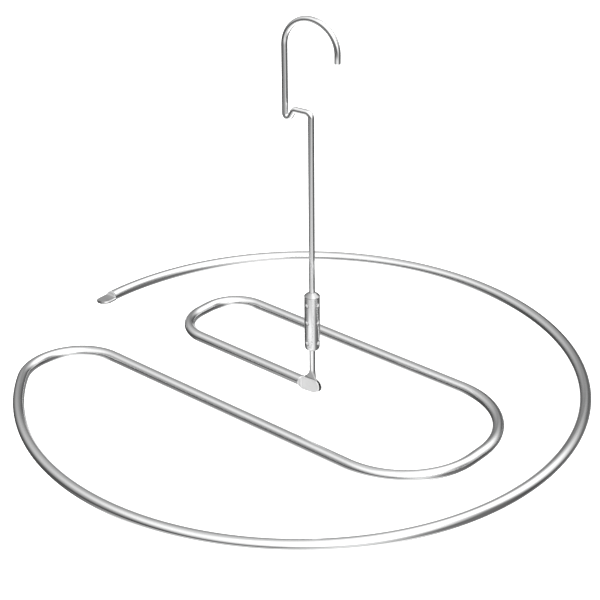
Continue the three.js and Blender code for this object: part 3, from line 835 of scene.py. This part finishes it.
cap_steepest = math.pi / 2 - CAP_SLOPE
shoulder_low = sleeve_high + CAP_STRAIGHT
shoulder = [
    (SLEEVE_RADIUS - CAP_SHOULDER * (1 - math.cos(a)), shoulder_low + CAP_SHOULDER * math.sin(a))
    for a in (cap_steepest * k / CAP_STEPS for k in range(CAP_STEPS + 1))
]
cone_radius, cone_low = shoulder[-1]
cap_tip = cone_low + (cone_radius - RUNNING_BORE - CAP_LIP) * math.tan(CAP_SLOPE)
cap = turn_profile("coned_bush", [
    (RUNNING_BORE, bush_low),
    (SLEEVE_BORE, bush_low),
    (SLEEVE_BORE, sleeve_high),
    (SLEEVE_RADIUS, sleeve_high),
    *shoulder,
    (RUNNING_BORE + CAP_LIP, cap_tip),
    (RUNNING_BORE, cap_tip),
    (RUNNING_BORE, bush_low),
])
finish_piece(cap, turned_steel, "rack", "top_bush")

# %% [markdown]
# ## The end plug
#
# The plug closes the sleeve from below and holds the lower rod. Its end is a low dome, which is a quarter
# of an ellipse in the profile. The guide bush and the thrust washer can't be seen once the sleeve is
# closed, so the frame's own solids stay, with the turned finish.

# %% End plug
PLUG_RIM = SLEEVE_RADIUS - 0.25 * MM
PLUG_ROUND = 3 * MM  # how far the dome's edge curves in
PLUG_LIFT = 0.9 * MM  # the dome is this much flatter than the frame's
DOME_STEPS = 10
plug_low, plug_high = (corner.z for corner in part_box("end_plug"))
dome_low = plug_low + PLUG_LIFT
dome = [
    (PLUG_RIM - PLUG_ROUND * (1 - math.cos(a)), mix(sleeve_low, dome_low, math.sin(a)))
    for a in (k / DOME_STEPS * math.pi / 2 for k in range(DOME_STEPS + 1))
]
plug = turn_profile("domed_plug", [
    (SLEEVE_BORE, plug_high),
    (SLEEVE_BORE, sleeve_low),
    *dome,
    (ROD_RADIUS, dome_low),
    (ROD_RADIUS, plug_high),
    (SLEEVE_BORE, plug_high),
])
finish_piece(plug, turned_steel, "rack", "end_plug")

for node in ("guide_bush", "thrust_washer"):
    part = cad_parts[node]
    part.data.materials.clear()
    part.data.materials.append(turned_steel)
    print(node, "stays as it is inside the sleeve, with the turned finish")

# %% [markdown]
# ## The sleeve
#
# The swivel's sleeve is a short tube that is crimped over the bushes and the plug: a punch dents it four
# times round, in three rows. The dents are soft, because the wall bends over a rounded punch, so they
# aren't cut with balls. Each is made by pulling the nearest point of a fine grid inwards with
# proportional editing, which carries the points round it along.

# %% Sleeve
ROW_PITCH = 0.4 * MM
RIM_ROUND = 0.35 * MM
RIM_CORNER = 0.29  # share of the rounding that is left in the middle of the rim's corner
DENT_DEPTH = 0.8 * MM
DENT_REACH = 1.9 * MM
DENT_FLOOR = 0.6  # share of the reach that the punch has rubbed
DENTS_IN_ROW = 4
DENT_ROWS = [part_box(node) for node in ("end_plug", "guide_bush", "top_bush")]

row_count = round((sleeve_high - sleeve_low - RIM_ROUND) / ROW_PITCH)
rows = [mix(sleeve_low + RIM_ROUND, sleeve_high, k / row_count) for k in range(row_count + 1)]
sleeve = turn_profile("crimped_sleeve", [
    (SLEEVE_BORE, sleeve_low),
    (SLEEVE_RADIUS - RIM_ROUND, sleeve_low),
    (SLEEVE_RADIUS - RIM_ROUND * RIM_CORNER, sleeve_low + RIM_ROUND * RIM_CORNER),
    *((SLEEVE_RADIUS, z) for z in rows),
    (SLEEVE_BORE, sleeve_high),
    (SLEEVE_BORE, sleeve_low),
])
dent_heights = [(max(low.z, sleeve_low) + min(high.z, sleeve_high)) / 2 for low, high in DENT_ROWS]
dents = []
for height in dent_heights:
    for k in range(DENTS_IN_ROW):
        angle = 2 * math.pi * k / DENTS_IN_ROW
        out = Vector((math.cos(angle), math.sin(angle), 0))
        middle = out * SLEEVE_RADIUS + UP * min(rows, key=lambda z: abs(z - height))
        dents.append(middle - out * DENT_DEPTH)
        select_points(lambda p: (p - middle).length < ROW_PITCH / 4)
        bpy.ops.transform.translate(
            value=tuple(-out * DENT_DEPTH),
            use_proportional_edit=True,
            use_proportional_connected=True,
            proportional_edit_falloff="SMOOTH",
            proportional_size=DENT_REACH,
        )
finish_piece(sleeve, satin_sleeve, "rack", "swivel_sleeve")
mark(sleeve, "ground", dents, DENT_REACH * DENT_FLOOR, DENT_REACH)
print("rows of dents at", [round(z, 4) for z in dent_heights])

# %% [markdown]
# ## The lower rod
#
# A short rod comes out of the plug, and its end is hammered into a fan that is welded on the upright flat
# of the tube. It is one ring again: pushed down for the rod, and squeezed wide and thin, step by step,
# for the fan. The hammer leaves the fan dull.

# %% Lower rod
FOOT_LENGTH = 8.6 * MM
FOOT_HALF_WIDTH = 6.3 * MM
FOOT_HALF_THICKNESS = 0.9 * MM
FOOT_OFFSET = -1.6 * MM  # the fan leans away from the tube's tip
FOOT_FLARE = 2  # the power with which the fan spreads towards its foot
FOOT_STEPS = 14
FOOT_DULL = 0.9 * FOOT_LENGTH  # how far up from its foot the fan is dull
FOOT_BRIGHT = 1.15 * FOOT_LENGTH  # how far up the rod's own finish begins
foot_low, rod_high = (corner.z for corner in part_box("lower_rod"))
foot_middle = Vector((FOOT_OFFSET, 0, foot_low))

foot = start_ring("fan_foot", ROD_RADIUS, ROD_SIDES, (0, 0, rod_high), -UP)
bpy.ops.mesh.edge_face_add()
push((0, 0, foot_low + FOOT_LENGTH - rod_high))
for step in range(FOOT_STEPS):
    push((0, 0, -FOOT_LENGTH / FOOT_STEPS))
for step in range(1, FOOT_STEPS + 1):
    share = step / FOOT_STEPS
    squeeze(
        Vector((0, 0, foot_low + FOOT_LENGTH * (1 - share))), -UP, (0, 1, 0), ROD_RADIUS,
        half_thin=mix(ROD_RADIUS, FOOT_HALF_THICKNESS, share),
        half_wide=mix(ROD_RADIUS, FOOT_HALF_WIDTH, share ** FOOT_FLARE),
        share=share,
        shift=Vector((FOOT_OFFSET * share ** FOOT_FLARE, 0, 0)),
    )
select_points(on_ring(foot_middle, UP, 2 * FOOT_HALF_WIDTH))
bpy.ops.mesh.edge_face_add()
finish_piece(foot, drawn_rod, "rack", "lower_rod")
mark(foot, "pressed", [foot_middle], FOOT_DULL, FOOT_BRIGHT)

# %% [markdown]
# ## The weld
#
# The weld runs along the foot of the fan. It is a row of ripples, each a few small pushes with their own
# scale, because a welder lays it drop by drop.

# %% Weld
BEAD_RADIUS = 1.1 * MM
BEAD_TAPER = 0.5  # how much of its radius is left at its two ends
BEAD_END = BEAD_RADIUS * BEAD_TAPER  # radius of the first end, and length of both
BEAD_RIPPLES = 9
BEAD_SIDES = 16
RIPPLE_STEPS = 4
RIPPLE_DEPTH = 0.12
weld_low, weld_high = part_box("foot_weld")
bead_z = (weld_low.z + weld_high.z) / 2
bead_steps = BEAD_RIPPLES * RIPPLE_STEPS
bead_pitch = (weld_high.x - weld_low.x - 2 * BEAD_END) / bead_steps

bead = start_ring("weld_bead", BEAD_END, BEAD_SIDES, (weld_low.x, 0, bead_z), (1, 0, 0))
bpy.ops.mesh.edge_face_add()
radius = BEAD_END
for step in range(bead_steps + 1):
    push((BEAD_END if step == 0 else bead_pitch, 0, 0))
    ripple = 1 - RIPPLE_DEPTH * (1 - abs(math.sin(math.pi * step / RIPPLE_STEPS)))
    ratio = BEAD_RADIUS * ripple / radius
    centre_x = weld_low.x + BEAD_END + bead_pitch * step
    bpy.ops.transform.resize(value=(1, ratio, ratio), center_override=(centre_x, 0, bead_z))
    radius = BEAD_RADIUS * ripple
push((BEAD_END, 0, 0))
bpy.ops.transform.resize(value=(1, BEAD_TAPER, BEAD_TAPER), center_override=(0, 0, bead_z))
bpy.ops.mesh.edge_face_add()
finish_piece(bead, matt_weld, "rack", "foot_weld", smooth=60)

# %% [markdown]
# ## A soft light below the swivel
#
# Close to the ground, upright steel mirrors the ground in front of it, and there the lit table is
# brightest. One soft round patch of light just below the ring does that for the swivel and the rod. It is
# linked to those pieces alone, adds to what is behind it, and isn't seen by the camera.

# %% Patch of light
PATCH_RADIUS = 85 * MM
PATCH_SIDES = 64
PATCH_PLACE = Vector((11, -104, -345)) * MM
PATCH_STRENGTH = 0.5
PATCH_EDGE = 0.4  # share of its radius over which it fades out

bpy.ops.object.select_all(action="DESELECT")
bpy.ops.mesh.primitive_circle_add(
    vertices=PATCH_SIDES, radius=PATCH_RADIUS, fill_type="NGON", location=PATCH_PLACE
)
patch = bpy.context.object
patch.name = "patch_of_light"
patch.visible_camera = False
patch_glow = bpy.data.materials.new("patch_glow")
patch_glow.use_nodes = True
tree = patch_glow.node_tree
tree.nodes.clear()
size = tree.nodes.new("ShaderNodeMapping")
size.inputs["Scale"].default_value = (1 / PATCH_RADIUS,) * 3
tree.links.new(tree.nodes.new("ShaderNodeTexCoord").outputs["Object"], size.inputs["Vector"])
spot = tree.nodes.new("ShaderNodeTexGradient")
spot.gradient_type = "SPHERICAL"
tree.links.new(size.outputs["Vector"], spot.inputs["Vector"])
fade = tree.nodes.new("ShaderNodeMapRange")
fade.interpolation_type = "SMOOTHSTEP"
fade.inputs["From Max"].default_value = PATCH_EDGE
fade.inputs["To Max"].default_value = PATCH_STRENGTH
tree.links.new(spot.outputs["Fac"], fade.inputs["Value"])
shine = tree.nodes.new("ShaderNodeEmission")
tree.links.new(fade.outputs["Result"], shine.inputs["Strength"])
both = tree.nodes.new("ShaderNodeAddShader")
tree.links.new(shine.outputs["Emission"], both.inputs[0])
tree.links.new(tree.nodes.new("ShaderNodeBsdfTransparent").outputs["BSDF"], both.inputs[1])
tree.links.new(both.outputs["Shader"], tree.nodes.new("ShaderNodeOutputMaterial").inputs["Surface"])
patch.data.materials.append(patch_glow)
lit = bpy.data.collections.new("lit_by_the_patch")
for piece in (sleeve, plug, foot):
    lit.objects.link(piece)
patch.light_linking.receiver_collection = lit

# %% [markdown]
# ## Sizes
#
# The dressed rack has to be the size of the frame. The frame's box is written down.

# %% Sizes
print("the frame measures", [round(x, 4) for x in cad_high - cad_low])
